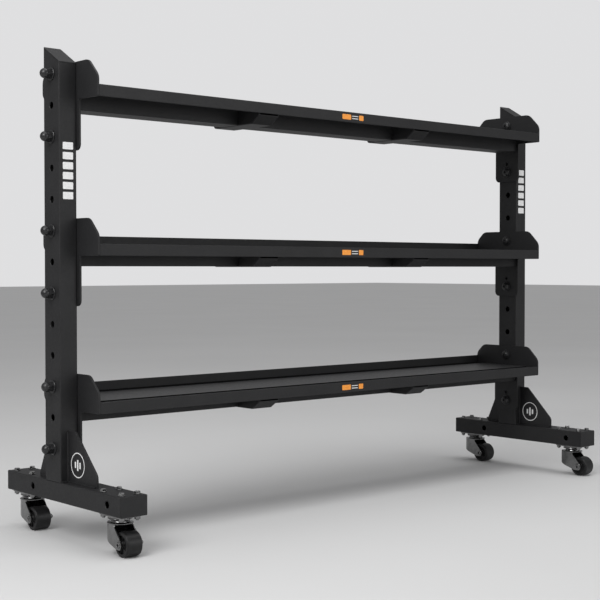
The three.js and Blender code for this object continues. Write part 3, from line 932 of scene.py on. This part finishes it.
def casters():
    """Four casters, each turned to the angle of its wheel's joint axis."""
    plate = caster_plate_mesh()
    fork = caster_fork_mesh()
    axle = caster_axle_mesh()
    wheel = caster_wheel_mesh()
    joints = {joint["name"]: joint for joint in frame["joints"]}
    for side in SIDES:
        for end in ENDS:
            spot = f"{side}_{end}"
            pivot = joints[f"swivel_{spot}"]["pos_m"]
            roll = joints[f"roll_{spot}"]
            turn = Matrix.Rotation(math.atan2(roll["axis"][1], roll["axis"][0]), 4, "Z")
            base = Matrix.Translation((pivot[0], pivot[1], 0))
            hub = Matrix.Translation(roll["pos_m"]) @ turn
            pieces = (
                ("plate", plate, "root", "zinc_plate", base),
                ("fork", fork, f"swivel_{spot}", "zinc_plate", base @ turn),
                ("axle", axle, f"swivel_{spot}", "zinc_plate", hub),
                ("wheel", wheel, f"wheel_{spot}", "wheel_black", hub),
            )
            for kind, mesh, body, slot, place in pieces:
                add_piece(f"caster_{spot}_{kind}", mesh, body, [f"caster_{kind}_{spot}"], place)


# ---- markings: plain shapes, no lettering ----
INK = 0.25
INK_GAP = 0.02
UPRIGHT_BLOCKS = {"left": (874.5, 1026.5), "right": (890.5, 1048.5)}
BLOCK_HALF = 15.0
BLOCK_COUNT = 6
BLOCK_SHARE = 0.72
BADGE = {"behind": 46.0, "up": 48.0, "inner": 29.8, "outer": 32.2, "bar_half": 3.0}
BADGE_BARS = ((-11, 8), (0, 14), (11, 8))
LABEL_HALF = 7.5
LABEL_BLOCKS = ((-43, -8), (25, 43))
LABEL_LINES = {"from": -4.0, "to": 21.0, "offset": 3.6, "half": 1.1}


def front_print(outlines, face):
    """Thin printed shapes on a face that looks to -Y."""
    return joined([prism(outline, face - INK, face - INK_GAP, along_y) for outline in outlines])


def upright_marking(side):
    """A column of plain blocks on the front face."""
    low, high = box_mm(f"upright_{side}")
    bottom, top = UPRIGHT_BLOCKS[side]
    middle = (low.x + high.x) / 2
    step = (top - bottom) / BLOCK_COUNT
    shapes = []
    for index in range(BLOCK_COUNT):
        block_low = (middle - BLOCK_HALF, bottom + step * index)
        block_high = (middle + BLOCK_HALF, bottom + step * (index + BLOCK_SHARE))
        shapes.append(rectangle(block_low, block_high, 2, 3))
    add_fixed(f"marking_upright_{side}", front_print(shapes, low.y), WHITE)


def badge(side):
    """A ring round three plain bars on the outer face of the front gusset."""
    low, _ = box_mm(f"gusset_{side}_front")
    centre = Vector((box_mm(f"upright_{side}")[0].y - BADGE["behind"], low.z + BADGE["up"]))
    inner, outer = BADGE["inner"], BADGE["outer"]
    front = low.x - INK
    back = low.x - INK_GAP
    shapes = [lathe([(inner, front), (outer, front), (outer, back), (inner, back)], 72, along_x, centre)]
    for across, half in BADGE_BARS:
        bar_middle = centre + Vector((across, 0))
        reach = Vector((BADGE["bar_half"], half))
        outline = rectangle(bar_middle - reach, bar_middle + reach, 1.2, 3)
        shapes.append(prism(outline, front, back, along_x))
    add_fixed(f"marking_badge_{side}", joined(shapes), WHITE)


def lip_label(level):
    """A small label: two orange blocks and two light lines."""
    low, _ = box_mm(f"shelf_tray_{level}")
    middle = low.z + LIP["height"] / 2
    blocks = [
        rectangle((first, middle - LABEL_HALF), (last, middle + LABEL_HALF), 2, 3)
        for first, last in LABEL_BLOCKS
    ]
    lines = []
    for z in (middle - LABEL_LINES["offset"], middle + LABEL_LINES["offset"]):
        line_low = (LABEL_LINES["from"], z - LABEL_LINES["half"])
        line_high = (LABEL_LINES["to"], z + LABEL_LINES["half"])
        lines.append(rectangle(line_low, line_high, 0.4, 2))
    add_fixed(f"marking_label_{level}_blocks", front_print(blocks, low.y), ORANGE)
    add_fixed(f"marking_label_{level}_lines", front_print(lines, low.y), WHITE)


# ---- floor, light and camera ----
def plain_floor():
    material, nodes, links, shader = new_material("floor")
    tint = mixed(nodes, links, noise(nodes, links, 0.8), (0.52, 0.52, 0.52), (0.54, 0.54, 0.54))
    links.new(tint, shader.inputs["Base Color"])
    shader.inputs["Roughness"].default_value = 0.7
    bm = bmesh.new()
    bmesh.ops.create_grid(bm, x_segments=1, y_segments=1, size=40)
    mesh = bpy.data.meshes.new("floor")
    bm.to_mesh(mesh)
    bm.free()
    mesh.materials.append(material)
    floor = bpy.data.objects.new("floor", mesh)
    bpy.context.scene.collection.objects.link(floor)


def softbox(name, place, target, size, power):
    light = bpy.data.lights.new(name, "AREA")
    light.shape = "RECTANGLE"
    light.size, light.size_y = size
    light.energy = power
    obj = bpy.data.objects.new(name, light)
    obj.location = place
    obj.rotation_euler = (Vector(target) - Vector(place)).to_track_quat("-Z", "Y").to_euler()
    bpy.context.scene.collection.objects.link(obj)


def studio():
    """A pale surround, brighter to look at than as a light, three soft boxes and a broad overhead light."""
    world = bpy.data.worlds.new("studio")
    world.use_nodes = True
    nodes = world.node_tree.nodes
    links = world.node_tree.links
    background = nodes["Background"]
    background.inputs["Color"].default_value = (0.87, 0.87, 0.88, 1)
    seen = nodes.new("ShaderNodeLightPath")
    strength = nodes.new("ShaderNodeMapRange")
    strength.inputs["To Min"].default_value = 0.38
    strength.inputs["To Max"].default_value = 0.85
    links.new(seen.outputs["Is Camera Ray"], strength.inputs["Value"])
    links.new(strength.outputs["Result"], background.inputs["Strength"])
    bpy.context.scene.world = world
    softbox("key", (-3.6, -1.2, 3.0), target=(-0.3, 0, 0.6), size=(2.4, 2.4), power=135)
    softbox("front", (1.6, -4.8, 1.8), target=(0, 0, 0.7), size=(3.5, 2.2), power=64)
    softbox("top", (0.3, -0.6, 4.2), target=(0.2, 0, 0.6), size=(4.0, 2.5), power=55)
    overhead = bpy.data.lights.new("overhead", "SUN")
    overhead.energy = 0.8
    overhead.angle = math.radians(60)
    bpy.context.scene.collection.objects.link(bpy.data.objects.new("overhead", overhead))


def camera():
    data = bpy.data.cameras.new("camera")
    data.lens = CAMERA_LENS
    data.sensor_width = 36
    obj = bpy.data.objects.new("camera", data)
    obj.location = CAMERA_PLACE
    obj.rotation_euler = (math.radians(90 + CAMERA_PITCH), 0, math.radians(-CAMERA_YAW))
    bpy.context.scene.collection.objects.link(obj)
    bpy.context.scene.camera = obj


# ---- assembly ----
for side in SIDES:
    upright(side)
    upright_cap(side)
    for end in ENDS:
        gusset(side, end)
    upright_welds(side)
    foot(side)
    upright_marking(side)
    badge(side)
bolt_mesh = shelf_bolt_mesh()
for level in LEVELS:
    tray(level)
    beam(level)
    for side in SIDES:
        end_plate(level, side)
        rib(level, side)
    shelf_bolts(level, bolt_mesh)
    lip_label(level)
casters()
plain_floor()
studio()
camera()
bpy.context.scene.view_settings.view_transform = "Standard"
